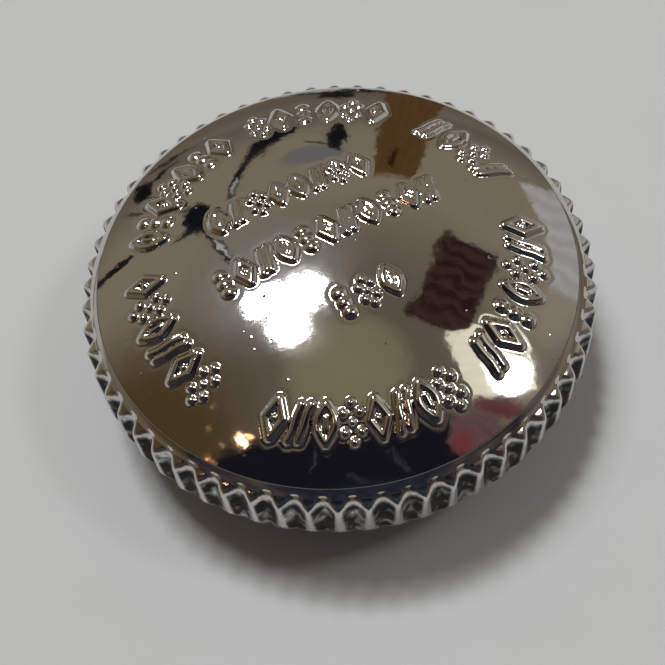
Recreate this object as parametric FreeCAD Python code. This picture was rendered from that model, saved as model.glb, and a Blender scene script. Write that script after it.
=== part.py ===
import FreeCAD, Part
import math
import os

# Quick-action oil tank cap, standing on its bayonet cup. Sizes in mm, +Z up.
# The origin is on the axis, at the level that the cup rests on.

# Cover: chromed sheet with a domed top and a toothed rim
cap_diameter = 63.5
cover_sheet = 0.9
dome_rise = 8.1
rim_level = 9.0
rim_height = 6.5
shoulder_width = 2.45
shoulder_rise = 1.39
step_width = 1.05
step_drop = 0.87
crest_corner = 0.45
rim_curl = 1.45
lip_width = 1.9
skirt_wall = 2.15

# Teeth round the rim
tooth_count = 60
first_tooth_angle = 1.012
groove_depth = 1.35
groove_foot_depth = 0.4
groove_angle = 72.0
groove_foot_angle = 142.0
groove_root_radius = 1.0

# Backing dish, gripped by the cover's lip
dish_sheet = 0.8
dish_bend = 1.0
dish_flange_width = 2.1
dish_depth = 5.0
dish_edge_gap = 0.1

# Bayonet cup under the dish
cup_sheet = 0.8
cup_bend = 0.6
neck_space = 10.0
cup_flange_width = 2.0
bead_level = 9.0
bead_height = 2.0
bead_width = 1.0
ear_reach = 4.2
ear_span = 50.0
ear_thickness = 1.1
ear_low = 0.9
ear_root = 0.4
ear_rise = 1.5

# Rivets from the cup into the dish
rivet_count = 4
rivet_circle = 20.0
rivet_diameter = 3.2
rivet_head_diameter = 5.6
rivet_head_height = 1.1
rivet_hole_gap = 0.05

# Pressure plate that slides and turns on the cup
plate_sheet = 0.8
plate_bend = 0.4
plate_running_gap = 0.1
plate_edge_gap = 1.1
plate_lip = 1.2
plate_collar = 1.5
plate_seat_gap = 0.02

# Gasket in the plate's channel
gasket_thickness = 2.4
gasket_bend_gap = 0.05

# Wavy spring between the plate and the dish
spring_strip = 0.5
spring_width = 3.6
spring_waves = 3
spring_end_gap = 0.02
spring_steps = 12

crest_radius = cap_diameter / 2
crest_level = rim_level + rim_height
apex_level = crest_level + dome_rise
dome_edge = crest_radius - shoulder_width
dome_sag = dome_rise - shoulder_rise
dome_radius = (dome_edge ** 2 + dome_sag ** 2) / (2 * dome_sag)
dish_edge = crest_radius - skirt_wall - dish_edge_gap
dish_wall_radius = dish_edge - dish_flange_width
cup_diameter = 2 * (dish_wall_radius - neck_space)
cup_radius = cup_diameter / 2
dish_flange_level = rim_level + cover_sheet
dish_floor_level = dish_flange_level + dish_sheet + dish_depth
cup_top_level = dish_floor_level
bead_top = bead_level + bead_height
plate_bore = cup_radius + plate_running_gap
plate_low = bead_top + plate_seat_gap
plate_web = plate_low + plate_collar
plate_top = plate_web + plate_sheet
plate_radius = dish_wall_radius - plate_edge_gap
axis = FreeCAD.Vector(0, 0, 1)
centre = FreeCAD.Vector(0, 0, 0)


def at(radius, level):
    return FreeCAD.Vector(radius, 0, level)


def corner_arc(before, corner, after, radius):
    """Start, middle and end of the arc that rounds a corner."""
    back = (before - corner).normalize()
    ahead = (after - corner).normalize()
    half = back.getAngle(ahead) / 2
    middle_way = (back + ahead).normalize()
    run = radius / math.tan(half)
    reach = radius / math.sin(half) - radius
    return corner + back * run, corner + middle_way * reach, corner + ahead * run


def rounded_wire(points, radii):
    """Closed outline with each corner rounded by its own radius."""
    edges = []
    count = len(points)
    arcs = []
    for i, radius in enumerate(radii):
        if radius > 0:
            arcs.append(corner_arc(points[i - 1], points[i], points[(i + 1) % count], radius))
        else:
            arcs.append((points[i], None, points[i]))
    for i, (start, middle, end) in enumerate(arcs):
        if middle is not None:
            edges.append(Part.Arc(start, middle, end).toShape())
        following = arcs[(i + 1) % count][0]
        if end.distanceToPoint(following) > 1e-6:
            edges.append(Part.makeLine(end, following))
    return Part.Wire(edges)


def turned(wire):
    """Solid of revolution about the cap's axis."""
    return Part.Face(wire).revolve(centre, axis, 360)


def pressed(path, sheet, bends):
    """Pressing turned about the axis: a folded line with the sheet on its right-hand side.

    Each fold is given the radius inside it, or 0 where the sheet is pinched sharp.
    """
    normals = []
    for a, b in zip(path, path[1:]):
        along = (b - a).normalize()
        normals.append(FreeCAD.Vector(along.z, 0, -along.x))
    far_side = [path[0] + normals[0] * sheet]
    near_radii = [0]
    far_radii = [0]
    for i in range(1, len(path) - 1):
        miter = normals[i - 1] + normals[i]
        far_side.append(path[i] + miter * (2 * sheet / miter.dot(miter)))
        turns_right = normals[i - 1].cross(normals[i]).y > 0
        inner = bends[i - 1]
        outer = inner + sheet if inner > 0 else 0
        near_radii.append(outer if turns_right else inner)
        far_radii.append(inner if turns_right else outer)
    far_side.append(path[-1] + normals[-1] * sheet)
    near_radii.append(0)
    far_radii.append(0)
    return turned(rounded_wire(path + far_side[::-1], near_radii + far_radii[::-1]))


def ribbon(inner, outer, angles, level_at, thickness):
    """Flat ring whose level rises and falls with the angle."""
    def rail(radius, lift):
        points = []
        for angle in angles:
            turn = math.radians(angle)
            x, y = radius * math.cos(turn), radius * math.sin(turn)
            points.append(FreeCAD.Vector(x, y, level_at(angle) + lift))
        curve = Part.BSplineCurve()
        curve.interpolate(points, PeriodicFlag=True)
        return curve.toShape()
    rails = [rail(inner, 0), rail(outer, 0), rail(outer, thickness), rail(inner, thickness)]
    faces = [Part.makeRuledSurface(rails[i - 1], rails[i]) for i in range(4)]
    solid = Part.makeSolid(Part.makeShell(faces))
    if solid.Volume < 0:
        solid.reverse()
    return solid


def dome_level(radius, sheet=0.0):
    """Level of the dome's outer face, or of the face one sheet below it."""
    ball = dome_radius - sheet
    return apex_level - dome_radius + math.sqrt(ball ** 2 - radius ** 2)


def cover_blank():
    """Cover before its teeth: dome, stepped shoulder, upright rim and curled-in lip."""
    shoulder = dome_level(dome_edge)
    skirt_inside = crest_radius - skirt_wall
    lip_inside = crest_radius - rim_curl - lip_width
    half_dome = dome_edge / 2
    half_inside = skirt_inside / 2
    lip_top = rim_level + cover_sheet
    crest = [at(dome_edge + step_width, shoulder - step_drop), at(crest_radius, crest_level - crest_corner / 4)]
    foot = [at(crest_radius, rim_level), at(lip_inside, rim_level)]
    inside = [at(lip_inside, lip_top), at(skirt_inside, lip_top)]
    inside.append(at(skirt_inside, dome_level(skirt_inside, cover_sheet)))
    dome = Part.Arc(at(0, apex_level), at(half_dome, dome_level(half_dome)), at(dome_edge, shoulder))
    ceiling = Part.Arc(inside[-1], at(half_inside, dome_level(half_inside, cover_sheet)),
                       at(0, apex_level - cover_sheet))
    crest_arc = corner_arc(crest[0], crest[1], foot[0], crest_corner)
    curl_arc = corner_arc(crest_arc[2], foot[0], foot[1], rim_curl)
    lip_arc = corner_arc(curl_arc[2], foot[1], inside[0], cover_sheet * 0.45)
    edges = [
        dome.toShape(),
        Part.makeLine(at(dome_edge, shoulder), crest[0]),
        Part.makeLine(crest[0], crest_arc[0]),
        Part.Arc(*crest_arc).toShape(),
        Part.makeLine(crest_arc[2], curl_arc[0]),
        Part.Arc(*curl_arc).toShape(),
        Part.makeLine(curl_arc[2], lip_arc[0]),
        Part.Arc(*lip_arc).toShape(),
        Part.makeLine(lip_arc[2], inside[0]),
        Part.makeLine(inside[0], inside[1]),
        Part.makeLine(inside[1], inside[2]),
        ceiling.toShape(),
        Part.makeLine(at(0, apex_level - cover_sheet), at(0, apex_level)),
    ]
    return turned(Part.Wire(edges))


def groove_section(depth, angle, level):
    """V with a rounded root, closed just outside the crests."""
    half = math.radians(angle / 2)
    root_centre = crest_radius - depth + groove_root_radius
    outside = crest_radius + 0.1
    touch_x = root_centre - groove_root_radius * math.sin(half)
    touch_y = groove_root_radius * math.cos(half)
    wide_y = touch_y + (outside - touch_x) * math.tan(half)
    root = Part.Arc(FreeCAD.Vector(touch_x, -touch_y, level),
                    FreeCAD.Vector(crest_radius - depth, 0, level),
                    FreeCAD.Vector(touch_x, touch_y, level)).toShape()
    sides = Part.makePolygon([
        FreeCAD.Vector(touch_x, touch_y, level),
        FreeCAD.Vector(outside, wide_y, level),
        FreeCAD.Vector(outside, -wide_y, level),
        FreeCAD.Vector(touch_x, -touch_y, level),
    ])
    return Part.Wire([root] + sides.Edges)


def groove_tool():
    """Cuts the gap between two teeth, deep at the shoulder and shallow at the rim's foot."""
    foot = groove_section(groove_foot_depth, groove_foot_angle, rim_level)
    head = groove_section(groove_depth, groove_angle, crest_level + shoulder_rise)
    return Part.makeLoft([foot, head], True, True)


def cover():
    """Cover with its teeth."""
    pitch = 360.0 / tooth_count
    tool = groove_tool()
    grooves = []
    for i in range(tooth_count):
        groove = tool.copy()
        groove.rotate(centre, axis, first_tooth_angle + (i + 0.5) * pitch)
        grooves.append(groove)
    return cover_blank().cut(grooves)


def rivet_places():
    places = []
    for i in range(rivet_count):
        turn = math.radians(360.0 * (i + 0.5) / rivet_count)
        places.append(FreeCAD.Vector(math.cos(turn), math.sin(turn), 0) * (rivet_circle / 2))
    return places


def rivet_holes():
    """Cylinders that pierce the dish's floor and the cup's top."""
    radius = rivet_diameter / 2 + rivet_hole_gap
    low = at(0, cup_top_level - cup_sheet - 1)
    height = cup_sheet + dish_sheet + 2
    return [Part.makeCylinder(radius, height, low + place) for place in rivet_places()]


def backing_dish():
    """Dish from its centre, down its wall and out along the flange that the cover's lip grips."""
    floor_top = dish_floor_level + dish_sheet
    wall = dish_wall_radius + dish_sheet
    flange_top = dish_flange_level + dish_sheet
    path = [at(0, floor_top), at(wall, floor_top), at(wall, flange_top), at(dish_edge, flange_top)]
    return pressed(path, dish_sheet, [dish_bend, dish_bend / 2]).cut(rivet_holes())


def ear(middle_angle):
    """Flat ear tilted about its own radius, so that it draws the cap down as it is turned."""
    root = cup_radius - ear_root
    reach = cup_radius + ear_reach
    half_chord = reach * math.sin(math.radians(ear_span / 2))
    tilt = math.degrees(math.atan(ear_rise / (2 * half_chord)))
    height = ear_low + ear_rise + 2 * ear_thickness
    section = Part.makePolygon([at(root, 0), at(reach, 0), at(reach, height), at(root, height), at(root, 0)])
    sector = Part.Face(section).revolve(centre, axis, ear_span)
    sector.rotate(centre, axis, -ear_span / 2)
    slab = Part.makeBox(reach, 2 * reach, ear_thickness, FreeCAD.Vector(0, -reach, 0))
    slab.rotate(centre, FreeCAD.Vector(1, 0, 0), tilt)
    slab.translate(axis * (ear_low + ear_rise / 2))
    return sector.common(slab).rotated(centre, axis, middle_angle)


def bayonet_cup():
    """Cup from its riveted top, down past the pinched bead, to the turned-out mouth and its ears."""
    bead_radius = cup_radius + bead_width
    path = [
        at(0, cup_top_level),
        at(cup_radius, cup_top_level),
        at(cup_radius, bead_top),
        at(bead_radius, bead_top),
        at(bead_radius, bead_level),
        at(cup_radius, bead_level),
        at(cup_radius, cup_sheet),
        at(cup_radius + cup_flange_width, cup_sheet),
    ]
    bends = [cup_bend, 0, 0, 0, 0, cup_bend]
    cup = pressed(path, cup_sheet, bends)
    return cup.fuse([ear(90), ear(270)]).cut(rivet_holes())


def rivets():
    """Rivets with a round head inside the cup and a flat upset head on the dish."""
    head = rivet_head_diameter / 2
    upset = (head + rivet_diameter / 2) / 2
    shank = rivet_diameter / 2
    top = dish_floor_level + dish_sheet
    upset_top = top + rivet_head_height / 2
    low = cup_top_level - cup_sheet
    ball = (head ** 2 + rivet_head_height ** 2) / (2 * rivet_head_height)
    half_turn = math.asin(head / ball) / 2
    ball_level = low - rivet_head_height + ball
    round_head = Part.Arc(at(head, low),
                          at(ball * math.sin(half_turn), ball_level - ball * math.cos(half_turn)),
                          at(0, low - rivet_head_height)).toShape()
    corners = [
        at(0, low - rivet_head_height),
        at(0, upset_top),
        at(upset, upset_top),
        at(upset, top),
        at(shank, top),
        at(shank, low),
        at(head, low),
    ]
    rivet = turned(Part.Wire(Part.makePolygon(corners).Edges + [round_head]))
    solids = []
    for place in rivet_places():
        solids.append(rivet.translated(place))
    return Part.makeCompound(solids)


def pressure_plate():
    """Channel ring: collar on the cup's wall, flat web above the gasket, lip round its edge."""
    path = [
        at(plate_bore, plate_low),
        at(plate_bore, plate_top),
        at(plate_radius, plate_top),
        at(plate_radius, plate_web - plate_lip),
    ]
    return pressed(path, plate_sheet, [plate_bend, plate_bend])


def gasket():
    """Flat ring cut from sheet, as wide as the channel is between its bends."""
    side_gap = plate_sheet + plate_bend + gasket_bend_gap
    inner = plate_bore + side_gap
    outer = plate_radius - side_gap
    low = plate_web - gasket_thickness
    corners = [at(inner, low), at(outer, low), at(outer, plate_web), at(inner, plate_web)]
    return turned(rounded_wire(corners, [0] * 4))


def seal_spring():
    """Spring ring whose waves touch the plate and the dish in turn."""
    middle = (plate_bore + plate_radius) / 2
    low = plate_top + spring_end_gap
    swing = (dish_floor_level - spring_end_gap - spring_strip - low) / 2
    count = spring_waves * spring_steps
    angles = [360.0 * i / count for i in range(count)]

    def level_at(angle):
        return low + swing * (1 + math.cos(math.radians(angle * spring_waves)))

    inner, outer = middle - spring_width / 2, middle + spring_width / 2
    return ribbon(inner, outer, angles, level_at, spring_strip)


pieces = {
    "cover": cover(),
    "backing_dish": backing_dish(),
    "bayonet_cup": bayonet_cup(),
    "rivets": rivets(),
    "pressure_plate": pressure_plate(),
    "gasket": gasket(),
    "seal_spring": seal_spring(),
}

os.makedirs("parts", exist_ok=True)
for name, shape in pieces.items():
    shape.exportStep("parts/" + name + ".step")
    box = shape.BoundBox
    print(name, len(shape.Solids), "solids, valid", shape.isValid(), "volume %.1f" % shape.Volume,
          "z %.2f to %.2f, r %.2f" % (box.ZMin, box.ZMax, box.XMax))
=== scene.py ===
import math
import random

import bpy
from mathutils import Matrix, Vector, noise


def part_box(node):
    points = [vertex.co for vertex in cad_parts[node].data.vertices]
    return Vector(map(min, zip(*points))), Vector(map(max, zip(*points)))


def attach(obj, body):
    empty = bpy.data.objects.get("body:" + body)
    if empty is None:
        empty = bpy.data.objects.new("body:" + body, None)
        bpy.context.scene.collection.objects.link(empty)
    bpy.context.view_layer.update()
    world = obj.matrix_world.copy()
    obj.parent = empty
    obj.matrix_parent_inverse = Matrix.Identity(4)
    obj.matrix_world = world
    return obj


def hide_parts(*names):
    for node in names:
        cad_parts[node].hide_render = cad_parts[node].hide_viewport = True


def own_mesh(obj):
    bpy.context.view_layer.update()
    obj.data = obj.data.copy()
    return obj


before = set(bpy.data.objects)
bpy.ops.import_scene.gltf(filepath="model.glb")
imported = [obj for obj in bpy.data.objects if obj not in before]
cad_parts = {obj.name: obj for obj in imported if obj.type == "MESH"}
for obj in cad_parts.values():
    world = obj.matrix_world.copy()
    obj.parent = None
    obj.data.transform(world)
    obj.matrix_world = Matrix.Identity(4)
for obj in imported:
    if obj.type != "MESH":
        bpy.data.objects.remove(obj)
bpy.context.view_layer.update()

coverLow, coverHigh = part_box("cover")
gasketLow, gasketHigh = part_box("gasket")
mm = 0.001

# What the whole cover shares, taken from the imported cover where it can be
cap = {
    "apexLevel": coverHigh.z,
    "lipLevel": coverLow.z,
    "crestRadius": 31.75 * mm,
    "crestLevel": coverHigh.z - 8.1 * mm,
    "ballRadius": 67.326 * mm,    # radius of the dome
    "domeEdge": 29.3 * mm,        # where the dome meets the bevel above the teeth
    "sheet": 0.9 * mm,
    "skirtInside": 29.6 * mm,
    "toothCount": 60,
    "firstTooth": math.radians(1.012),
}


# Small helpers for working as in the viewport

def deselectAll():
    if bpy.context.mode != "OBJECT":
        bpy.ops.object.mode_set(mode="OBJECT")
    bpy.ops.object.select_all(action="DESELECT")


def pick(piece):
    deselectAll()
    piece.select_set(True)
    bpy.context.view_layer.objects.active = piece


def applyModifier(piece, kind, name, settings):
    modifier = piece.modifiers.new(name, kind)
    for key, value in settings.items():
        setattr(modifier, key, value)
    pick(piece)
    bpy.ops.object.modifier_apply(modifier=modifier.name)


def selectVertices(piece, wanted):
    # wanted is a test on a vertex; leaves edit mode on with what passed selected
    bpy.ops.object.mode_set(mode="EDIT")
    bpy.ops.mesh.select_mode(type="VERT")
    bpy.ops.mesh.select_all(action="DESELECT")
    bpy.ops.object.mode_set(mode="OBJECT")
    for vertex in piece.data.vertices:
        vertex.select = wanted(vertex)
    bpy.ops.object.mode_set(mode="EDIT")


def domeLevel(radius, below=0.0):
    ball = cap["ballRadius"] - below
    return cap["apexLevel"] - cap["ballRadius"] + math.sqrt(ball ** 2 - radius ** 2)


def smoothStep(low, high, value):
    t = min(max((value - low) / (high - low), 0.0), 1.0)
    return t * t * (3 - 2 * t)


# Dome: a fine disc in the middle, rings added outwards, relief pushed up, underside closed
dome = {
    "gridCells": 200,
    "gridRadius": 17.6 * mm,
    "bands": [(19.9, 7), (25.9, 38), (28.9, 8), (29.2, 2), (29.3, 2)],   # outer radius in mm, rings
    "waveHeight": 0.014 * mm,
    "waveSize": 5.5 * mm,
    "wallDrop": 0.75 * mm,
    "ceilingRings": [0.93, 0.8, 0.6, 0.35, 0.12],
}

# Raised marks: plain lozenges, leaves, rosettes, pearls and a rope twist, as on a border
marks = {
    "height": 0.44 * mm,
    # half width of a line, of what it encloses, of a bead and of a pearl
    "feet": (0.66 * mm, 0.52 * mm, 0.64 * mm, 0.95 * mm),
    "moatDepth": 0.022 * mm,
    "moatWidth": 1.25 * mm,
    "bandRadius": 22.85 * mm,
    # height, width and pitch in the band round the edge, and in the rows
    "bandBox": (5.2 * mm, 3.1 * mm, 2.95 * mm),
    "rowBox": (4.3 * mm, 2.8 * mm, 2.70 * mm),
    # first angle, last angle, motifs in turn
    "arcs": [
        (-180.0, -132.0, "lozenge rosette leaf twist"),
        (171.0, 121.0, "leaf pearls lozenge rosette"),
        (114.0, 67.0, "rosette lozenge pearls leaf"),
        (55.0, 22.0, "twist leaf rosette"),
        (6.0, -49.0, "lozenge twist rosette leaf pearls"),
        (-57.0, -116.0, "rosette leaf twist lozenge"),
    ],
    # left end, right end in mm, motifs in turn
    "rows": [
        ((-13.3, 4.8), (4.2, 10.8), "leaf twist rosette lozenge"),
        ((-13.0, -4.4), (12.2, 6.1), "pearls lozenge twist leaf"),
        ((0.6, -9.3), (6.2, -6.9), "pearls rosette leaf"),
    ],
}


def arcPoints(start, end, bulge, steps):
    # bowed line from start to end, pushed sideways by bulge in its middle
    points = []
    for i in range(steps + 1):
        t = i / steps
        x = start[0] + (end[0] - start[0]) * t
        y = start[1] + (end[1] - start[1]) * t
        points.append((x + bulge * math.sin(math.pi * t), y))
    return points


def bead(x, y, foot):
    return [(x, y - 0.01), (x, y + 0.01)], foot


def motifLines(name):
    # strokes of one motif in a box from -1 to 1 each way, each with its half width at the foot
    line, inner, small, large = marks["feet"]
    if name == "lozenge":
        return [([(0, -1), (1, 0), (0, 1), (-1, 0), (0, -1)], line), bead(0, 0, inner)]
    if name == "rosette":
        turns = [math.radians(60 * i) for i in range(6)]
        petals = [bead(math.sin(turn), math.cos(turn), small) for turn in turns]
        return petals + [bead(0, 0, inner)]
    if name == "pearls":
        return [bead(0, y, large) for y in (-0.78, 0, 0.78)]
    if name == "leaf":
        return [(arcPoints((0, -1), (0, 1), 0.95, 6), line), (arcPoints((0, -1), (0, 1), -0.95, 6), line),
                ([(0, -0.3), (0, 0.3)], inner)]
    return [([(-1.0, -0.95), (-0.62, -0.45), (-0.42, 0.3), (-0.05, 0.9)], line),
            ([(0.05, -0.9), (0.42, -0.3), (0.62, 0.45), (1.0, 0.95)], line)]


def distanceToLine(x, y, line):
    best = 1.0     # a metre, far from any mark
    for (ax, ay), (bx, by) in zip(line, line[1:]):
        dx, dy = bx - ax, by - ay
        length = dx * dx + dy * dy
        t = min(max(((x - ax) * dx + (y - ay) * dy) / length, 0.0), 1.0)
        best = min(best, math.hypot(x - ax - dx * t, y - ay - dy * t))
    return best


def placedMarks():
    # centre, turn, motif, half width and half height of every mark
    placed = []
    radius = marks["bandRadius"]
    tall, wide, pitch = marks["bandBox"]
    for first, last, motifs in marks["arcs"]:
        names = motifs.split()
        way = 1 if last > first else -1
        inset = wide / 2 / radius * way
        start, end = math.radians(first) + inset, math.radians(last) - inset
        count = round(abs(end - start) * radius / pitch) + 1
        for i in range(count):
            angle = start + (end - start) * i / (count - 1)
            centre = Vector((math.cos(angle), math.sin(angle))) * radius
            placed.append((centre, angle - math.pi / 2, names[i % len(names)], wide / 2, tall / 2))
    tall, wide, pitch = marks["rowBox"]
    for left, right, motifs in marks["rows"]:
        names = motifs.split()
        start, end = Vector(left) * mm, Vector(right) * mm
        count = round((end - start).length / pitch) + 1
        turn = math.atan2(end.y - start.y, end.x - start.x)
        for i in range(count):
            placed.append((start.lerp(end, i / (count - 1)), turn, names[i % len(names)], wide / 2, tall / 2))
    return placed


def discPoint(x, y):
    # moves a point of a square onto a disc, ring by ring
    if abs(x) >= abs(y):
        if x == 0:
            return 0.0, 0.0
        angle = math.pi / 4 * y / x
        return x * math.cos(angle), x * math.sin(angle)
    angle = math.pi / 4 * x / y
    return y * math.sin(angle), y * math.cos(angle)


def markWeights(piece):
    # how far each vertex rises into a mark, and how far it lies in the dip round one
    reach = marks["bandBox"][0] / 2 + marks["bandBox"][1] / 2 + marks["moatWidth"]
    buckets = {}
    for vertex in piece.data.vertices:
        buckets.setdefault((round(vertex.co.x / reach), round(vertex.co.y / reach)), []).append(vertex)
    raised, sunk = {}, {}
    for centre, turn, name, halfWide, halfTall in placedMarks():
        halfWide, halfTall = halfWide - marks["feet"][0] * 0.75, halfTall - marks["feet"][0] * 0.75
        strokes = []
        for line, foot in motifLines(name):
            strokes.append(([(x * halfWide, y * halfTall) for x, y in line], foot))
        cosTurn, sinTurn = math.cos(turn), math.sin(turn)
        column, row = round(centre.x / reach), round(centre.y / reach)
        near = []
        for i in (-1, 0, 1):
            for j in (-1, 0, 1):
                near.extend(buckets.get((column + i, row + j), []))
        for vertex in near:
            dx, dy = vertex.co.x - centre.x, vertex.co.y - centre.y
            x, y = dx * cosTurn + dy * sinTurn, dy * cosTurn - dx * sinTurn
            if abs(x) > halfWide + marks["moatWidth"] or abs(y) > halfTall + marks["moatWidth"]:
                continue
            away = min(distanceToLine(x, y, line) / foot for line, foot in strokes)
            rise = max(1 - away * away, 0.0) ** 0.95
            dip = 1 - smoothStep(1.0, marks["moatWidth"] / marks["feet"][0], away)
            raised[vertex.index] = max(raised.get(vertex.index, 0.0), rise)
            sunk[vertex.index] = max(sunk.get(vertex.index, 0.0), dip)
    return raised, sunk


def weightGroup(piece, name, weights):
    group = piece.vertex_groups.new(name=name)
    for index, weight in weights.items():
        if weight > 0:
            group.add([index], weight, "REPLACE")
    return group


def buildDome():
    deselectAll()
    cells = dome["gridCells"]
    bpy.ops.mesh.primitive_grid_add(x_subdivisions=cells, y_subdivisions=cells, size=2)
    piece = bpy.context.active_object
    piece.name = "cover_dome"
    for vertex in piece.data.vertices:
        x, y = discPoint(vertex.co.x, vertex.co.y)
        vertex.co = (x * dome["gridRadius"], y * dome["gridRadius"], 0)
    rim = dome["gridRadius"] * 0.99999
    selectVertices(piece, lambda vertex: math.hypot(vertex.co.x, vertex.co.y) > rim)
    radius = dome["gridRadius"]
    for outer, rings in dome["bands"]:
        step = (outer * mm - radius) / rings
        for i in range(rings):
            bpy.ops.mesh.extrude_region_move(TRANSFORM_OT_translate={"value": (0, 0, 0)})
            grow = (radius + step) / radius
            bpy.ops.transform.resize(value=(grow, grow, 1), center_override=(0, 0, 0))
            radius += step
    bpy.ops.object.mode_set(mode="OBJECT")
    for vertex in piece.data.vertices:
        vertex.co.z = domeLevel(min(math.hypot(vertex.co.x, vertex.co.y), cap["domeEdge"]))
    print("dome disc", len(piece.data.vertices), "vertices")

    raised, sunk = markWeights(piece)
    weightGroup(piece, "raised", raised)
    weightGroup(piece, "sunk", sunk)
    clouds = bpy.data.textures.new("pressWaves", "CLOUDS")
    clouds.noise_scale = dome["waveSize"]
    clouds.noise_depth = 1
    applyModifier(piece, "DISPLACE", "waves", {
        "texture": clouds, "texture_coords": "LOCAL", "direction": "NORMAL",
        "strength": dome["waveHeight"] * 2, "mid_level": 0.5})
    applyModifier(piece, "DISPLACE", "dips", {
        "vertex_group": "sunk", "direction": "NORMAL", "strength": -marks["moatDepth"], "mid_level": 0.0})
    applyModifier(piece, "DISPLACE", "marks", {
        "vertex_group": "raised", "direction": "NORMAL", "strength": marks["height"], "mid_level": 0.0})
    print("relief pressed on", len(placedMarks()), "marks")

    border = cap["domeEdge"] * 0.9999
    selectVertices(piece, lambda vertex: math.hypot(vertex.co.x, vertex.co.y) > border)
    bpy.ops.mesh.extrude_region_move(TRANSFORM_OT_translate={"value": (0, 0, -dome["wallDrop"])})
    scale, level = 1.0, None
    bottom = domeLevel(cap["domeEdge"]) - dome["wallDrop"]
    for share in dome["ceilingRings"]:
        rise = domeLevel(cap["domeEdge"] * share, cap["sheet"]) - (level or bottom)
        bpy.ops.mesh.extrude_region_move(TRANSFORM_OT_translate={"value": (0, 0, rise)})
        bpy.ops.transform.resize(value=(share / scale, share / scale, 1), center_override=(0, 0, 0))
        scale = share
        level = (level or bottom) + rise
    bpy.ops.mesh.extrude_region_move(TRANSFORM_OT_translate={"value": (0, 0, 0)})
    bpy.ops.mesh.merge(type="CENTER")
    bpy.ops.mesh.select_all(action="SELECT")
    bpy.ops.mesh.normals_make_consistent(inside=False)
    bpy.ops.object.mode_set(mode="OBJECT")
    piece.vertex_groups.clear()
    pick(piece)
    bpy.ops.object.shade_smooth_by_angle(angle=math.radians(50))
    return piece


# Rim: the section turned about the axis, then grooved between the teeth
rim = {
    "stepsPerTooth": 28,
    "bevelWide": 1.05 * mm,
    "bevelDrop": 0.87 * mm,
    "bevelCrown": 0.03 * mm,
    "topSlopes": (21.0, 35.0, 90.0),     # of a tooth's top at the bevel, past its middle and at the crest
    "crestCorner": 1.1 * mm,
    "curl": 1.45 * mm,
    "lipInside": 28.4 * mm,
    # depth, half angle and root radius of a groove at the lip and at the dome's edge
    "footGroove": (0.50 * mm, math.radians(66), 1.0 * mm),
    "headGroove": (1.35 * mm, math.radians(36), 1.0 * mm),
    "softEdge": (0.36 * mm, 0.95 * mm),  # rounding of a groove's sides low down, and of its head
    "depthSpread": 0.08 * mm,
    "angleSpread": math.radians(0.14),
    "crestSpread": 0.05 * mm,
    "seed": 11,
}

# Dirt and painted shade on the rim, by how far a place is pressed in and how high it lies; painted shade also
# darkens the lip and the inside of the skirt
dirtAndShading = {
    "pressed": (0.08 * mm, 0.30 * mm),     # depth at which it starts, and at which it is full
    "fade": (1.0 * mm, 0.1 * mm),          # below and above the crests, where it thins out
    "left": 0.1,                           # share that stays above
    "blotches": (1.2 * mm, 0.5 * mm),
    "cover": (1.05, 1.1, 0.3),             # middle, contrast and least share in blotches
    # brown low in the grooves: partly rust, partly a painted reflection of brown surroundings
    "brownLevel": 2.4 * mm,                 # above the lip
    "brownBand": (0.3 * mm, 1.1 * mm),
    "brownPressed": (0.22 * mm, 0.45 * mm),
    "seam": (0.04 * mm, 0.10 * mm),        # dark line between dome and bevel
    # painted shade towards the lip's underside, and a share of it inside the skirt
    "lip": (1.2 * mm, 0.2 * mm),
    "inside": 0.6,
}


def quarter(centre, radius, first, last, steps):
    points = []
    for i in range(steps + 1):
        angle = math.radians(first + (last - first) * i / steps)
        points.append((centre[0] + radius * math.cos(angle), centre[1] + radius * math.sin(angle)))
    return points


def line(start, end, steps):
    # points from start towards end, without the last
    return [(start[0] + (end[0] - start[0]) * i / steps, start[1] + (end[1] - start[1]) * i / steps)
            for i in range(steps)]


def rolled(start, radius, first, last, steps):
    # arc from start that steepens from the first slope to the last, without its start
    points = []
    for i in range(1, steps + 1):
        slope = math.radians(first + (last - first) * i / steps)
        across = radius * (math.sin(slope) - math.sin(math.radians(first)))
        down = radius * (math.cos(math.radians(first)) - math.cos(slope))
        points.append((start[0] + across, start[1] - down))
    return points


def rimSection():
    crest = cap["crestRadius"]
    edge = cap["domeEdge"]
    top = domeLevel(edge)
    corner = rim["crestCorner"]
    under = cap["lipLevel"]
    lip = rim["lipInside"]
    sheet = cap["sheet"]
    foot = (edge + rim["bevelWide"], top - rim["bevelDrop"])
    first, middle, last = rim["topSlopes"]
    steep = math.sin(math.radians(middle))
    cornerWide = corner * (1 - steep)
    topRadius = (crest - foot[0] - cornerWide) / (steep - math.sin(math.radians(first)))
    section = [(edge - 0.3 * mm, top - 0.75 * mm), (edge - 0.02 * mm, top - 0.08 * mm)]
    bevel = line((edge + 0.03 * mm, top - 0.025 * mm), foot, 9)
    for i, (x, z) in enumerate(bevel):
        crown = math.sin(math.pi * i / 9) * rim["bevelCrown"]
        section.append((x + crown * 0.64, z + crown * 0.77))
    section.append(foot)
    section += rolled(foot, topRadius, first, middle, 9)
    section += rolled(section[-1], corner, middle, last, 6)
    section += line((crest, section[-1][1] - 0.2 * mm), (crest, under + rim["curl"]), 9)
    section += quarter((crest - rim["curl"], under + rim["curl"]), rim["curl"], 0, -90, 7)
    section += line((crest - rim["curl"] - 0.5 * mm, under), (lip + sheet * 0.45, under), 2)
    section += quarter((lip + sheet * 0.45, under + sheet * 0.45), sheet * 0.45, -90, -180, 3)
    section += [(lip, under + sheet * 0.8), (lip + 0.2 * mm, under + sheet),
                (cap["skirtInside"] - 0.3 * mm, under + sheet),
                (cap["skirtInside"], under + sheet + 0.3 * mm),
                (cap["skirtInside"], top - 1.9 * mm)]
    return section


def softMin(a, b, blend):
    h = min(max(0.5 + 0.5 * (b - a) / blend, 0.0), 1.0)
    return b * (1 - h) + a * h - blend * h * (1 - h)


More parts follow.
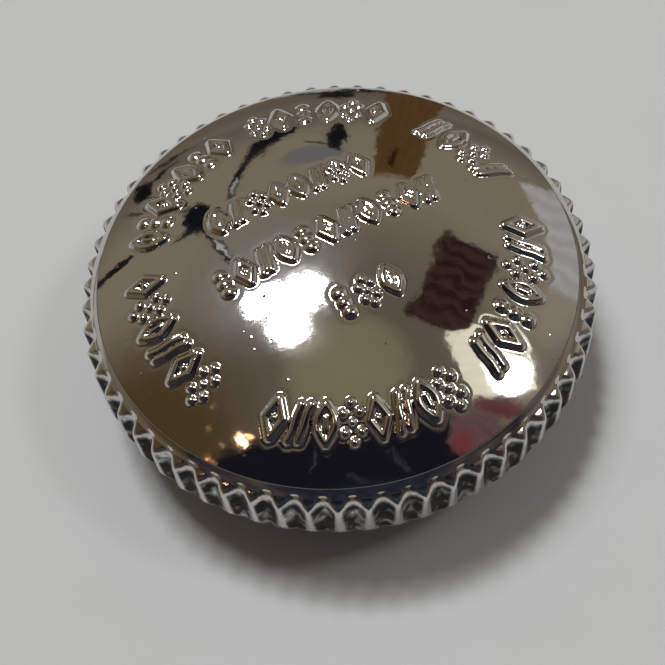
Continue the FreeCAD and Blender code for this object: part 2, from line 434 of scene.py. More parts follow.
def toothTable():
    # depth, shift and crest change of each groove, a little uneven as on a worn cap
    rng = random.Random(rim["seed"])
    table = []
    for i in range(cap["toothCount"]):
        table.append((rng.uniform(-1, 1) * rim["depthSpread"], rng.uniform(-1, 1) * rim["angleSpread"],
                      rng.uniform(-1, 0) * rim["crestSpread"]))
    return table


def rootDepth(groove, share):
    # sideways place and depth on a groove's rounded root, from its middle (0) to its end (1)
    depth, half, radius = groove
    turn = (math.pi / 2 - half) * share
    return radius * math.sin(turn), depth - radius * (1 - math.cos(turn))


def grooveRadius(angle, z, table):
    # radius of the groove's wall at an angle and a level, and the crest's own radius there
    pitch = 2 * math.pi / cap["toothCount"]
    turns = (angle - cap["firstTooth"]) / pitch
    index = math.floor(turns) % cap["toothCount"]
    depthChange, shift, crestChange = table[index]
    offset = (turns - math.floor(turns) - 0.5) * pitch - shift
    side = abs(offset) * cap["crestRadius"]
    top = domeLevel(cap["domeEdge"])
    rise = min(max((z - cap["lipLevel"]) / (top - cap["lipLevel"]), 0.0), 1.0)
    footSide, footDepth = rootDepth(rim["footGroove"], 1)
    headSide, headDepth = rootDepth(rim["headGroove"], 1)
    touch = footSide + (headSide - footSide) * rise
    if side < touch:
        share = side / touch
        depth = rootDepth(rim["footGroove"], share)[1] * (1 - rise)
        depth += rootDepth(rim["headGroove"], share)[1] * rise
    else:
        footEnd = footSide + footDepth * math.tan(rim["footGroove"][1])
        headEnd = headSide + headDepth * math.tan(rim["headGroove"][1])
        end = footEnd + (headEnd - footEnd) * rise
        depth = (footDepth + (headDepth - footDepth) * rise) * (end - side) / (end - touch)
    depth *= 1 + depthChange / rim["headGroove"][0]
    return cap["crestRadius"] - depth, cap["crestRadius"] + crestChange


def blotchShare(place):
    coarse, fine = dirtAndShading["blotches"]
    middle, contrast, least = dirtAndShading["cover"]
    blotch = noise.noise(place / coarse) + 0.5 * noise.noise(place / fine)
    return min(max(middle + contrast * blotch, least), 1.0)


def buildRim():
    section = rimSection()
    mesh = bpy.data.meshes.new("cover_rim")
    edges = [(i, (i + 1) % len(section)) for i in range(len(section))]
    mesh.from_pydata([(x, 0, z) for x, z in section], edges, [])
    piece = bpy.data.objects.new("cover_rim", mesh)
    bpy.context.scene.collection.objects.link(piece)
    pick(piece)
    bpy.ops.object.mode_set(mode="EDIT")
    bpy.ops.mesh.select_all(action="SELECT")
    steps = rim["stepsPerTooth"] * cap["toothCount"]
    bpy.ops.mesh.spin(steps=steps, angle=2 * math.pi, center=(0, 0, 0), axis=(0, 0, 1))
    bpy.ops.mesh.select_all(action="SELECT")
    bpy.ops.mesh.remove_doubles(threshold=0.004 * mm)
    bpy.ops.mesh.normals_make_consistent(inside=False)
    bpy.ops.object.mode_set(mode="OBJECT")

    table = toothTable()
    dirtAndShade = mesh.attributes.new("dirtAndShade", "FLOAT", "POINT")
    brownLow = mesh.attributes.new("brownLow", "FLOAT", "POINT")
    worn = mesh.attributes.new("worn", "FLOAT", "POINT")
    crestLevel = cap["crestLevel"]
    footRadius = cap["domeEdge"] + rim["bevelWide"]
    footLevel = domeLevel(cap["domeEdge"]) - rim["bevelDrop"]
    innermost = cap["crestRadius"] - rim["headGroove"][0] - 0.3 * mm
    for vertex in mesh.vertices:
        x, y, z = vertex.co
        radius = math.hypot(x, y)
        pressed, low = 0.0, 0.0
        if radius > innermost:
            angle = math.atan2(y, x)
            phase = (angle - cap["firstTooth"]) * cap["toothCount"]
            bevelLevel = footLevel - (radius - footRadius) * rim["bevelDrop"] / rim["bevelWide"]
            if radius > footRadius and z > bevelLevel:
                z -= (z - bevelLevel) * ((1 - math.cos(phase)) / 2) ** 1.6
            wall, crest = grooveRadius(angle, z, table)
            head = smoothStep(crestLevel - 1.1 * mm, crestLevel + 0.3 * mm, z)
            soft = rim["softEdge"][0] * (1 - head) + rim["softEdge"][1] * head
            moved = softMin(softMin(radius, crest, 0.06 * mm), wall, soft)
            vertex.co = (x * moved / radius, y * moved / radius, z)
            # near-black deep in the grooves: dirt and painted shade
            pressed = smoothStep(*dirtAndShading["pressed"], radius - moved)
            below, above = dirtAndShading["fade"]
            pressed *= 1 - (1 - dirtAndShading["left"]) * smoothStep(crestLevel - below, crestLevel + above, z)
            pressed *= blotchShare(Vector((x, y, z)))
            # brown low in the grooves: partly rust, partly painted reflection
            low = pressed * (1 - smoothStep(*dirtAndShading["brownBand"], abs(z - cap["lipLevel"] - dirtAndShading["brownLevel"])))
            low *= smoothStep(*dirtAndShading["brownPressed"], radius - moved)
        crease = 1 - smoothStep(*dirtAndShading["seam"], abs(radius - cap["domeEdge"]))
        if z < domeLevel(cap["domeEdge"]) - 0.5 * mm:
            crease = 0.0
        # painted shade at the lip's underside and inside the skirt
        underneath = smoothStep(*dirtAndShading["lip"], z - cap["lipLevel"])
        if radius < cap["skirtInside"] and z < crestLevel:
            underneath = dirtAndShading["inside"]
        dirtAndShade.data[vertex.index].value = max(pressed, crease, underneath * dirtAndShading["inside"])
        brownLow.data[vertex.index].value = low
        worn.data[vertex.index].value = smoothStep(footRadius, footRadius + 0.5 * mm, radius)
    pick(piece)
    bpy.ops.object.shade_smooth_by_angle(angle=math.radians(60))
    print("rim", len(section), "points in the section,", len(mesh.vertices), "vertices")
    return piece


# Gasket: a cork ring with softened edges and a slightly lumpy face
ring = {
    "inner": 18.75 * mm,
    "outer": 25.05 * mm,
    "edge": 0.22 * mm,
    "steps": 240,
}


def buildGasket():
    low, high = gasketLow.z, gasketHigh.z
    edge = ring["edge"]
    inner, outer = ring["inner"], ring["outer"]
    section = quarter((inner + edge, low + edge), edge, 180, 270, 3)
    section += [(inner + 1.6 * mm, low), ((inner + outer) / 2, low), (outer - 1.6 * mm, low)]
    section += quarter((outer - edge, low + edge), edge, 270, 360, 3)
    section += quarter((outer - edge, high - edge), edge, 0, 90, 3)
    section += [((inner + outer) / 2, high)]
    section += quarter((inner + edge, high - edge), edge, 90, 180, 3)
    mesh = bpy.data.meshes.new("sealing_ring")
    edges = [(i, (i + 1) % len(section)) for i in range(len(section))]
    mesh.from_pydata([(x, 0, z) for x, z in section], edges, [])
    piece = bpy.data.objects.new("sealing_ring", mesh)
    bpy.context.scene.collection.objects.link(piece)
    pick(piece)
    bpy.ops.object.mode_set(mode="EDIT")
    bpy.ops.mesh.select_all(action="SELECT")
    bpy.ops.mesh.spin(steps=ring["steps"], angle=2 * math.pi, center=(0, 0, 0), axis=(0, 0, 1))
    bpy.ops.mesh.select_all(action="SELECT")
    bpy.ops.mesh.remove_doubles(threshold=0.01 * mm)
    bpy.ops.mesh.normals_make_consistent(inside=False)
    bpy.ops.object.mode_set(mode="OBJECT")
    for vertex in mesh.vertices:
        reach = math.hypot(vertex.co.x, vertex.co.y)
        lump = noise.noise(Vector(vertex.co) / (1.7 * mm)) * 0.03 * mm
        if vertex.co.z < low + edge:
            vertex.co.z += abs(lump) + 0.02 * mm
        elif reach < inner + edge * 0.5 or reach > outer - edge * 0.5:
            vertex.co.x += vertex.co.x / reach * lump
            vertex.co.y += vertex.co.y / reach * lump
    pick(piece)
    bpy.ops.object.shade_smooth_by_angle(angle=math.radians(50))
    return piece


# Spring: the imported wavy ring, merged and shaded smooth; the real one flattens against the dish when the
# sealing ring is pressed
spring = {
    "travel": 1.6 * mm,
    "smoothAngle": math.radians(35),
}


def buildSpring():
    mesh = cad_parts["seal_spring"].data.copy()
    piece = bpy.data.objects.new("wavy_spring", mesh)
    bpy.context.scene.collection.objects.link(piece)
    pick(piece)
    bpy.ops.object.mode_set(mode="EDIT")
    bpy.ops.mesh.select_all(action="SELECT")
    bpy.ops.mesh.remove_doubles(threshold=0.002 * mm)
    bpy.ops.mesh.normals_make_consistent(inside=False)
    bpy.ops.object.mode_set(mode="OBJECT")
    bpy.ops.object.shade_smooth_by_angle(angle=spring["smoothAngle"])
    return piece


# Materials

def newMaterial(name):
    material = bpy.data.materials.new(name)
    material.use_nodes = True
    tree = material.node_tree
    return material, tree.nodes, tree.links, tree.nodes["Principled BSDF"]


def ramp(nodes, links, source, stops):
    node = nodes.new("ShaderNodeValToRGB")
    elements = node.color_ramp.elements
    elements[0].position, elements[1].position = stops[0][0], stops[-1][0]
    elements[0].color, elements[1].color = (*stops[0][1], 1), (*stops[-1][1], 1)
    for position, colour in stops[1:-1]:
        elements.new(position).color = (*colour, 1)
    links.new(source, node.inputs["Fac"])
    return node.outputs["Color"]


def grey(value):
    return (value, value, value)


def scaledNoise(nodes, links, coordinates, scale, detail, rough=0.5, distortion=0.0):
    node = nodes.new("ShaderNodeTexNoise")
    node.inputs["Scale"].default_value = scale
    node.inputs["Detail"].default_value = detail
    node.inputs["Roughness"].default_value = rough
    node.inputs["Distortion"].default_value = distortion
    links.new(coordinates, node.inputs["Vector"])
    return node.outputs["Fac"]


def bumpOn(nodes, links, height, distance, before=None):
    node = nodes.new("ShaderNodeBump")
    node.inputs["Strength"].default_value = 1.0
    node.inputs["Distance"].default_value = distance
    links.new(height, node.inputs["Height"])
    if before is not None:
        links.new(before, node.inputs["Normal"])
    return node.outputs["Normal"]


def mixed(nodes, links, factor, a, b, kind="RGBA"):
    node = nodes.new("ShaderNodeMix")
    node.data_type = kind
    sockets = {"RGBA": (6, 7, 2), "FLOAT": (2, 3, 0)}[kind]
    for socket, value in ((0, factor), (sockets[0], a), (sockets[1], b)):
        if isinstance(value, bpy.types.NodeSocket):
            links.new(value, node.inputs[socket])
        elif kind == "RGBA" and socket != 0:
            node.inputs[socket].default_value = (*value, 1)
        else:
            node.inputs[socket].default_value = value
    return node.outputs[sockets[2]]


chrome = {
    "colour": (0.63, 0.62, 0.60),
    # near-black of the dirt and painted shade on the rim
    "dirtAndShadeColour": (0.010, 0.0095, 0.012),
    # brown low in the grooves: partly rust, partly painted reflection
    "brownColour": (0.050, 0.026, 0.016),
    "roughness": 0.04,
    "hazeRoughness": 0.09,
    "wearSize": 0.9 * mm,                  # blotches and dents of the worn teeth
    "wearDepth": 0.042 * mm,
    "peelSize": 1.3 * mm,
    "peelDepth": 0.009 * mm,
    "pitCell": 0.95 * mm,
    "pitDepth": 0.040 * mm,
    "pitPlace": (-6.5 * mm, -11.0 * mm),   # where the plating is pitted most
    "pitReach": 11.0 * mm,
    "scratchDepth": 0.00014 * mm,
}


def worked(nodes, links, kind, a, b, c=None):
    # one step of arithmetic on sockets or numbers
    node = nodes.new("ShaderNodeMath")
    node.operation = kind
    for i, value in enumerate((a, b, c)):
        if isinstance(value, bpy.types.NodeSocket):
            links.new(value, node.inputs[i])
        elif value is not None:
            node.inputs[i].default_value = value
    return node.outputs["Value"]


def attributeOf(nodes, name):
    node = nodes.new("ShaderNodeAttribute")
    node.attribute_name = name
    return node.outputs["Fac"]


def pitMask(nodes, links, place):
    # round pimples and pits in the plating, thick in one patch and sparse elsewhere
    cells = nodes.new("ShaderNodeTexVoronoi")
    cells.inputs["Scale"].default_value = 1 / chrome["pitCell"]
    links.new(place, cells.inputs["Vector"])
    split = nodes.new("ShaderNodeSeparateColor")
    links.new(cells.outputs["Color"], split.inputs["Color"])
    away = nodes.new("ShaderNodeMapping")
    away.vector_type = "TEXTURE"
    away.inputs["Location"].default_value = (*chrome["pitPlace"], cap["apexLevel"])
    away.inputs["Scale"].default_value = (chrome["pitReach"],) * 3
    links.new(place, away.inputs["Vector"])
    reach = nodes.new("ShaderNodeVectorMath")
    reach.operation = "LENGTH"
    links.new(away.outputs["Vector"], reach.inputs[0])
    share = ramp(nodes, links, reach.outputs["Value"], [(0.25, grey(0.50)), (1.0, grey(0.08))])
    chosen = worked(nodes, links, "LESS_THAN", split.outputs["Red"], share)
    size = worked(nodes, links, "MULTIPLY_ADD", split.outputs["Green"], 0.13, 0.13)
    outwards = worked(nodes, links, "DIVIDE", cells.outputs["Distance"], size)
    crater = worked(nodes, links, "SUBTRACT", 1.0, outwards)
    rounded = worked(nodes, links, "SMOOTH_MAX", crater, 0.0, 0.3)
    way = worked(nodes, links, "MULTIPLY_ADD", split.outputs["Blue"], 2.0, -0.7)
    return worked(nodes, links, "MULTIPLY", worked(nodes, links, "MULTIPLY", rounded, chosen), way)


def chromeMaterial(name, withDirtAndShade):
    material, nodes, links, shader = newMaterial(name)
    shader.inputs["Metallic"].default_value = 1.0
    place = nodes.new("ShaderNodeTexCoord").outputs["Object"]
    peel = scaledNoise(nodes, links, place, 1 / chrome["peelSize"], 1.5)
    normal = bumpOn(nodes, links, peel, chrome["peelDepth"])
    normal = bumpOn(nodes, links, pitMask(nodes, links, place), chrome["pitDepth"], normal)
    if withDirtAndShade:
        wear = scaledNoise(nodes, links, place, 1 / chrome["wearSize"], 3, 0.55)
        wear = worked(nodes, links, "MULTIPLY", wear, attributeOf(nodes, "worn"))
        normal = bumpOn(nodes, links, wear, chrome["wearDepth"], normal)

    stretch = nodes.new("ShaderNodeMapping")       # fine scratches, mostly one way
    stretch.inputs["Rotation"].default_value = (0, 0, math.radians(34))
    stretch.inputs["Scale"].default_value = (1 / (7 * mm), 1 / (0.11 * mm), 1 / (5 * mm))
    links.new(place, stretch.inputs["Vector"])
    scratches = scaledNoise(nodes, links, stretch.outputs["Vector"], 1.0, 2, 0.6, 0.4)
    fine = ramp(nodes, links, scratches, [(0.68, grey(0.0)), (0.72, grey(1.0)), (0.76, grey(0.0))])
    normal = bumpOn(nodes, links, fine, chrome["scratchDepth"], normal)
    links.new(normal, shader.inputs["Normal"])

    haze = scaledNoise(nodes, links, place, 1 / (11 * mm), 4, 0.6)
    polish = [(0.40, grey(chrome["roughness"])), (0.75, grey(chrome["hazeRoughness"]))]
    rough = ramp(nodes, links, haze, polish)
    if withDirtAndShade:
        # rim: near-black dirt and painted shade where the share is high, brown low in the grooves
        speckle = scaledNoise(nodes, links, place, 1 / (0.45 * mm), 4, 0.6)
        amount = worked(nodes, links, "MULTIPLY_ADD", attributeOf(nodes, "dirtAndShade"), 1.0, speckle)
        share = ramp(nodes, links, amount, [(0.70, grey(0.0)), (1.0, grey(0.97))])
        share = worked(nodes, links, "MINIMUM", share, attributeOf(nodes, "dirtAndShade"))
        dirtAndShading = mixed(nodes, links, attributeOf(nodes, "brownLow"), chrome["dirtAndShadeColour"], chrome["brownColour"])
        links.new(mixed(nodes, links, share, chrome["colour"], dirtAndShading), shader.inputs["Base Color"])
        links.new(worked(nodes, links, "SUBTRACT", 1.0, share), shader.inputs["Metallic"])
        shader.inputs["Specular IOR Level"].default_value = 0.12
        rough = worked(nodes, links, "MULTIPLY_ADD", attributeOf(nodes, "worn"), 0.11, rough)
        rough = mixed(nodes, links, share, rough, 0.6, "FLOAT")
    else:
        hazy = tuple(c * 0.93 for c in chrome["colour"])
        fog = ramp(nodes, links, haze, [(0.35, chrome["colour"]), (0.8, hazy)])
        links.new(fog, shader.inputs["Base Color"])
    links.new(rough, shader.inputs["Roughness"])
    return material


def platedMaterial(name, light, dark, roughness, grain):
    # dull plated or bare steel with a little stain and a fine spotty grain
    material, nodes, links, shader = newMaterial(name)
    shader.inputs["Metallic"].default_value = 1.0
    place = nodes.new("ShaderNodeTexCoord").outputs["Object"]
    stain = scaledNoise(nodes, links, place, 1 / (6 * mm), 6, 0.65)
    links.new(ramp(nodes, links, stain, [(0.35, light), (0.7, dark)]), shader.inputs["Base Color"])
    spots = scaledNoise(nodes, links, place, 1 / (0.7 * mm), 3)
    rough = ramp(nodes, links, spots, [(0.3, grey(roughness)), (0.8, grey(roughness + 0.18))])
    links.new(rough, shader.inputs["Roughness"])
    links.new(bumpOn(nodes, links, spots, grain), shader.inputs["Normal"])
    return material


# share of the crumbs, tone
corkTones = [
    (0.0, (0.11, 0.06, 0.03)), (0.5, (0.22, 0.13, 0.07)),
    (0.85, (0.36, 0.23, 0.13)), (1.0, (0.05, 0.04, 0.035)),
]


def corkMaterial():
    material, nodes, links, shader = newMaterial("corkRubber")
    place = nodes.new("ShaderNodeTexCoord").outputs["Object"]
    crumbs = nodes.new("ShaderNodeTexVoronoi")
    crumbs.inputs["Scale"].default_value = 1 / (0.75 * mm)
    links.new(place, crumbs.inputs["Vector"])
    split = nodes.new("ShaderNodeSeparateColor")
    links.new(crumbs.outputs["Color"], split.inputs["Color"])
    tone = ramp(nodes, links, split.outputs["Green"], corkTones)
    links.new(tone, shader.inputs["Base Color"])
    shader.inputs["Roughness"].default_value = 0.82
    grainHeight = scaledNoise(nodes, links, place, 1 / (0.3 * mm), 4)
    normal = bumpOn(nodes, links, crumbs.outputs["Distance"], 0.06 * mm)
    links.new(bumpOn(nodes, links, grainHeight, 0.03 * mm, normal), shader.inputs["Normal"])
    return material


# Surroundings: what the chrome mirrors, as soft patches by direction
surroundings = {
    # height of the direction, tone
    "tones": [
        (0.00, (0.155, 0.12, 0.09)), (0.08, (0.19, 0.155, 0.115)), (0.14, (0.145, 0.125, 0.10)),
        (0.22, (0.20, 0.168, 0.124)), (0.34, (0.265, 0.225, 0.162)), (0.62, (0.265, 0.23, 0.167)),
        (0.78, (0.205, 0.175, 0.125)), (0.90, (0.155, 0.13, 0.095)), (0.958, (0.148, 0.126, 0.09)),
        (0.98, (0.25, 0.21, 0.136)), (1.00, (0.27, 0.23, 0.147)),
    ],
    # form, azimuth, elevation, half width, half height, roll (degrees), softness, wobble, folds, tone
    "patches": [
        ("oval", 119, 60, 13, 11, 0, 0.9, 0.03, 0, (0.33, 0.315, 0.31)),
        ("oval", 148, 6, 18, 7, 0, 0.35, 0.03, 0, (0.46, 0.45, 0.43)),
        ("box", 75.5, 15, 4.2, 19, 3, 0.06, 0.015, 0.12, (0.105, 0.054, 0.020)),
        ("box", 33, 19, 15, 10, -33, 0.07, 0.01, 0.12, (0.43, 0.43, 0.42)),
        ("oval", 17, 36, 7, 9, 0, 0.4, 0.03, 0, (0.33, 0.28, 0.22)),
        ("oval", -12, 31, 20, 12, 0, 0.4, 0.04, 0, (0.12, 0.10, 0.09)),
        ("oval", -168, 40, 28, 24, 0, 0.45, 0.04, 0, (0.095, 0.06, 0.028)),
        ("oval", -90, 42, 54, 34, 0, 0.05, 0.06, 0, (0.010, 0.010, 0.016)),
        ("oval", -90, 36, 52, 20, 0, 0.3, 0.05, 0.4, (0.062, 0.050, 0.047)),
        ("oval", -88, 40, 27, 21, 0, 0.25, 0.05, 0.3, (0.022, 0.025, 0.038)),
        ("oval", -80, 46, 12, 2.6, 0, 0.5, 0.05, 0, (0.045, 0.11, 0.14)),
        ("box", -29, 57.5, 4.4, 5.6, 14, 0.15, 0.05, 0.2, (0.145, 0.083, 0.085)),
        ("oval", -36, 58, 2.6, 3.2, 0, 0.6, 0.05, 0, (0.21, 0.05, 0.055)),
        ("box", 39, 55.3, 12.3, 6.6, -64, 0.05, 0.03, 0.6, (0.037, 0.017, 0.017)),
        ("box", 4, 55.5, 8.4, 8.8, 12, 0.05, 0.02, 0.05, (1.05, 1.0, 0.80)),
        ("oval", -14.5, 53, 2.8, 7.5, 8, 0.3, 0.06, 0.3, (0.13, 0.042, 0.040)),
        ("oval", 92, 25.8, 6.2, 3.6, 4, 0.22, 0.03, 0, (0.18, 0.175, 0.175)),
        ("oval", -156, 60.3, 1.7, 1.0, 0, 0.4, 0.03, 0, (11.0, 6.5, 3.6)),
        ("oval", -155.2, 62.8, 0.5, 1.0, -35, 0.5, 0.02, 0, (5.0, 2.4, 1.2)),
        ("oval", -159.4, 51.2, 0.7, 0.7, 0, 0.5, 0.02, 0, (3.0, 1.3, 0.5)),
        ("oval", -157.6, 51.9, 0.5, 0.4, 0, 0.5, 0.02, 0, (2.0, 0.9, 0.35)),
        ("oval", -160.7, 55.7, 0.6, 0.5, 0, 0.7, 0.02, 0, (0.7, 0.4, 0.22)),
        ("oval", -169.3, 54.6, 0.5, 0.5, 0, 0.7, 0.02, 0, (0.6, 0.35, 0.2)),
        ("oval", -176.4, 57.4, 0.5, 0.5, 0, 0.6, 0.02, 0, (0.9, 0.5, 0.25)),
    ],
    # azimuth and elevation of both ends, half width, wobble, tone: most are dark and high up
    "streaks": [
        (81, -3.0, 92.5, -3.6, 1.3, 0.02, (0.008, 0.007, 0.009)),
        (85.5, -0.4, 88.8, -0.8, 1.9, 0.02, (0.008, 0.007, 0.009)),
        (87, 15.0, 87.3, 24.5, 1.5, 0.02, (0.008, 0.008, 0.010)),
        (87, 23.5, 93, 20.5, 0.45, 0.01, (0.010, 0.010, 0.012)),
        (86, 15, 84.8, 22.5, 0.4, 0.01, (0.010, 0.010, 0.012)),
        (94, 13.0, 102, 18.5, 2.1, 0.025, (0.007, 0.007, 0.011)),
        (99, 17.5, 105.3, 22.6, 1.2, 0.02, (0.007, 0.007, 0.011)),
        (104, 21, 112, 31.5, 1.0, 0.012, (0.007, 0.007, 0.011)),
        (107.6, 26, 111.0, 30.5, 0.3, 0.006, (0.50, 0.50, 0.50)),
        (109, 5.5, 118, 4.8, 0.6, 0.02, (0.008, 0.008, 0.010)),
        (113, 7.5, 119, 8.8, 0.6, 0.02, (0.008, 0.008, 0.010)),
        (119.8, 7.0, 121.8, 12.0, 1.9, 0.02, (0.008, 0.008, 0.010)),
        (121.5, 13, 120.5, 26, 0.6, 0.012, (0.009, 0.009, 0.012)),
        (126.6, 11.5, 124.7, 19.5, 0.4, 0.012, (0.012, 0.011, 0.012)),
        (119.4, 27.0, 121, 34.8, 2.8, 0.03, (0.007, 0.008, 0.012)),
        (122, 33.5, 128, 31.0, 0.7, 0.02, (0.010, 0.010, 0.013)),
        (121, 36, 124.2, 49.5, 1.1, 0.012, (0.008, 0.008, 0.013)),
        (121.6, 40, 123.2, 47.5, 0.4, 0.006, (0.55, 0.55, 0.56)),
        (134.0, 24.2, 142, 18.0, 1.1, 0.015, (0.008, 0.008, 0.010)),
        (75.8, 23.5, 74.6, 30.5, 0.35, 0.02, (0.020, 0.010, 0.006)),
        (-114.5, 73, -118, 65, 0.3, 0.01, (0.055, 0.055, 0.058)),
        (-67.6, 71, -64.2, 62.5, 0.3, 0.01, (0.075, 0.072, 0.070)),
        (-96.5, 65.6, -87, 63, 0.35, 0.01, (0.045, 0.045, 0.052)),
    ],
}


def direction(azimuth, elevation):
    az, el = math.radians(azimuth), math.radians(elevation)
    return Vector((math.cos(el) * math.cos(az), math.cos(el) * math.sin(az), math.sin(el)))


def reachOf(nodes, links, local, form):
    # 1 on the edge of an oval or of a box
    size = nodes.new("ShaderNodeVectorMath")
    links.new(local, size.inputs[0])
    if form == "oval":
        size.operation = "LENGTH"
        return size.outputs["Value"]
    size.operation = "ABSOLUTE"
    split = nodes.new("ShaderNodeSeparateXYZ")
    links.new(size.outputs["Vector"], split.inputs["Vector"])
    wider = worked(nodes, links, "MAXIMUM", split.outputs["X"], split.outputs["Y"])
    return worked(nodes, links, "MAXIMUM", wider, split.outputs["Z"])


def shaking(nodes, links, ray, scale):
    # noise about zero that makes the outline of a patch uneven
    swirl = nodes.new("ShaderNodeTexNoise")
    swirl.inputs["Scale"].default_value = scale
    swirl.inputs["Detail"].default_value = 4.0
    swirl.inputs["Roughness"].default_value = 0.6
    links.new(ray, swirl.inputs["Vector"])
    centred = nodes.new("ShaderNodeVectorMath")
    centred.operation = "SUBTRACT"
    links.new(swirl.outputs["Color"], centred.inputs[0])
    centred.inputs[1].default_value = (0.5, 0.5, 0.5)
    return centred.outputs["Vector"]


def patchPlace(nodes, links, ray, shake, wobble, towards, axes, wide, tall):
    # the direction in a patch's own axes, from -1 to 1 across it
    shaken = nodes.new("ShaderNodeVectorMath")
    shaken.operation = "MULTIPLY_ADD"
    links.new(shake, shaken.inputs[0])
    shaken.inputs[1].default_value = (wobble * 2.4,) * 3
    links.new(ray, shaken.inputs[2])
    local = nodes.new("ShaderNodeMapping")
    local.vector_type = "TEXTURE"
    local.inputs["Location"].default_value = towards
    local.inputs["Rotation"].default_value = axes.to_euler()
    local.inputs["Scale"].default_value = [math.radians(size) for size in (wide, tall, max(wide, tall))]
    links.new(shaken.outputs["Vector"], local.inputs["Vector"])
    return local.outputs["Vector"]


def patchShare(nodes, links, local, form, soft):
    share = nodes.new("ShaderNodeMapRange")
    share.interpolation_type = "SMOOTHSTEP"
    share.inputs["From Min"].default_value = 1 + soft
    share.inputs["From Max"].default_value = 1 - soft
    links.new(reachOf(nodes, links, local, form), share.inputs["Value"])
    return share.outputs["Result"]


def folded(nodes, links, local, tone, strength):
    # a tone with lighter and darker folds across the patch
    wave = nodes.new("ShaderNodeTexWave")
    wave.bands_direction = "X"
    wave.inputs["Scale"].default_value = 1.0
    wave.inputs["Distortion"].default_value = 8.0
    wave.inputs["Detail"].default_value = 3.0
    wave.inputs["Detail Scale"].default_value = 1.4
    links.new(local, wave.inputs["Vector"])
    dark = tuple(c * (1 - strength * 0.5) for c in tone)
    light = tuple(c * (1 + strength) for c in tone)
    return mixed(nodes, links, wave.outputs["Fac"], dark, light)


def buildWorld():
    world = bpy.data.worlds.new("softStudio")
    bpy.context.scene.world = world
    world.use_nodes = True
    nodes, links = world.node_tree.nodes, world.node_tree.links
    background = nodes["Background"]
    ray = nodes.new("ShaderNodeTexCoord").outputs["Generated"]
    height = nodes.new("ShaderNodeSeparateXYZ")
    links.new(ray, height.inputs["Vector"])
    colour = ramp(nodes, links, height.outputs["Z"], surroundings["tones"])
    broad = shaking(nodes, links, ray, 7.0)
    fine = shaking(nodes, links, ray, 24.0)
    for form, azimuth, elevation, wide, tall, roll, soft, wobble, folds, tone in surroundings["patches"]:
        towards = direction(azimuth, elevation)
        across = Vector((0, 0, 1)).cross(towards).normalized()
        axes = Matrix((across, towards.cross(across), towards)).transposed()
        axes = axes @ Matrix.Rotation(math.radians(roll), 3, "Z")
        local = patchPlace(nodes, links, ray, broad, wobble, towards, axes, wide, tall)
        if folds:
            tone = folded(nodes, links, local, tone, folds)
        share = patchShare(nodes, links, local, form, soft)
        colour = mixed(nodes, links, share, colour, tone)
    for fromAz, fromEl, toAz, toEl, wide, wobble, tone in surroundings["streaks"]:
        first, last = direction(fromAz, fromEl), direction(toAz, toEl)
        towards = (first + last).normalized()
        across = (last - first).normalized()
        axes = Matrix((across, towards.cross(across), towards)).transposed()
        long = math.degrees(first.angle(last)) / 2 + wide / 2
        local = patchPlace(nodes, links, ray, fine, wobble, towards, axes, long, wide)
        share = patchShare(nodes, links, local, "oval", 0.15)
        colour = mixed(nodes, links, share, colour, tone)
    links.new(colour, background.inputs["Color"])
    background.inputs["Strength"].default_value = 1.0
    print("surroundings", len(surroundings["patches"]) + len(surroundings["streaks"]), "patches")


# Lamps: three discs together high on the left, one lower on the right
lamps = {
    "distance": 2.5,
    "discs": [   # azimuth, elevation, half angle, power in watts
        (129, 62.5, 4.8, 7.0),
        (108, 67.5, 4.6, 17.5),
        (132, 72.0, 4.4, 8.0),
        (-1, 51.8, 5.2, 5.2),
    ],
    "colour": (1.0, 1.0, 0.99),
}


def buildLamps():
    for i, (azimuth, elevation, half, power) in enumerate(lamps["discs"]):
        data = bpy.data.lights.new("lamp%d" % i, "AREA")
        data.shape = "DISK"
        data.size = 2 * lamps["distance"] * math.tan(math.radians(half))
        data.energy = power
        data.color = lamps["colour"]
        lamp = bpy.data.objects.new("lamp%d" % i, data)
        bpy.context.scene.collection.objects.link(lamp)
        towards = direction(azimuth, elevation)
        lamp.location = towards * lamps["distance"]
        lamp.rotation_euler = towards.to_track_quat("Z", "Y").to_euler()
    print("lamps", len(lamps["discs"]))


table = {
    "half": 0.26,
    "colour": (0.70, 0.725, 0.75),
    "mottle": 0.985,              # how dark its darker blotches are
}


def buildTable():
    deselectAll()
    bpy.ops.mesh.primitive_plane_add(size=2 * table["half"], location=(0, 0, 0))
    piece = bpy.context.active_object
    piece.name = "table"
    piece.location.z = -0.02 * mm
    material, nodes, links, shader = newMaterial("tableTop")
    place = nodes.new("ShaderNodeTexCoord").outputs["Object"]
    mottle = scaledNoise(nodes, links, place, 1 / (9 * mm), 3)
    darker = tuple(c * table["mottle"] for c in table["colour"])
    tone = ramp(nodes, links, mottle, [(0.3, darker), (0.7, table["colour"])])
    links.new(tone, shader.inputs["Base Color"])
    shader.inputs["Roughness"].default_value = 0.75
    shader.inputs["Specular IOR Level"].default_value = 0.25
    piece.data.materials.append(material)


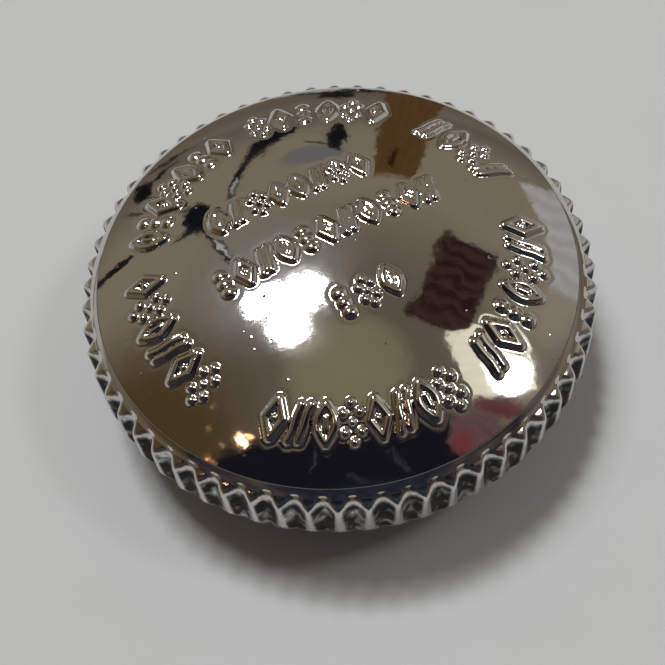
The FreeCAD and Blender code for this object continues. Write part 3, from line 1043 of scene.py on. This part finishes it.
view = {
    "place": (0.0, -81.555 * mm, cap["crestLevel"] + 118.084 * mm),
    "aim": (-1.205 * mm, -8.444 * mm, cap["crestLevel"]),
    "roll": math.radians(7.363),
    "lens": 63.043,
}


def buildCamera():
    data = bpy.data.cameras.new("camera")
    data.lens = view["lens"]
    data.sensor_width = 36.0
    data.clip_start = 0.005
    data.clip_end = 50.0
    camera = bpy.data.objects.new("camera", data)
    bpy.context.scene.collection.objects.link(camera)
    forward = (Vector(view["aim"]) - Vector(view["place"])).normalized()
    side = forward.cross(Vector((0, 0, 1))).normalized()
    level = side.cross(forward)
    upward = level * math.cos(view["roll"]) + side * math.sin(view["roll"])
    right = forward.cross(upward)
    turned = Matrix((right, upward, -forward)).transposed().to_4x4()
    camera.matrix_world = Matrix.Translation(view["place"]) @ turned
    bpy.context.scene.camera = camera


# Build and dress

bpy.context.scene.view_settings.view_transform = "Standard"
buildCamera()
buildWorld()
buildLamps()
buildTable()

chromeDome = chromeMaterial("chromeDome", False)
chromeRim = chromeMaterial("chromeRim", True)
zincPlate = platedMaterial("zincPlate", (0.56, 0.555, 0.53), (0.36, 0.34, 0.30), 0.34, 0.012 * mm)
rivetSteel = platedMaterial("rivetSteel", (0.42, 0.40, 0.37), (0.25, 0.22, 0.19), 0.38, 0.01 * mm)
springSteel = platedMaterial("springSteel", (0.30, 0.30, 0.32), (0.17, 0.16, 0.16), 0.30, 0.006 * mm)
cork = corkMaterial()


def dress(piece, material, body, replaced):
    piece.data.materials.clear()
    piece.data.materials.append(material)
    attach(piece, body)
    if replaced:
        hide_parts(replaced)


dress(buildDome(), chromeDome, "cap", "cover")
dress(buildRim(), chromeRim, "cap", "cover")
dress(buildGasket(), cork, "seal", "gasket")
wavySpring = buildSpring()
dress(wavySpring, springSteel, "spring", "seal_spring")
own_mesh(wavySpring)
for node, material in (("backing_dish", zincPlate), ("bayonet_cup", zincPlate), ("pressure_plate", zincPlate),
                       ("rivets", rivetSteel)):
    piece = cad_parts[node]
    piece.data.materials.clear()
    piece.data.materials.append(material)
print("pieces dressed")
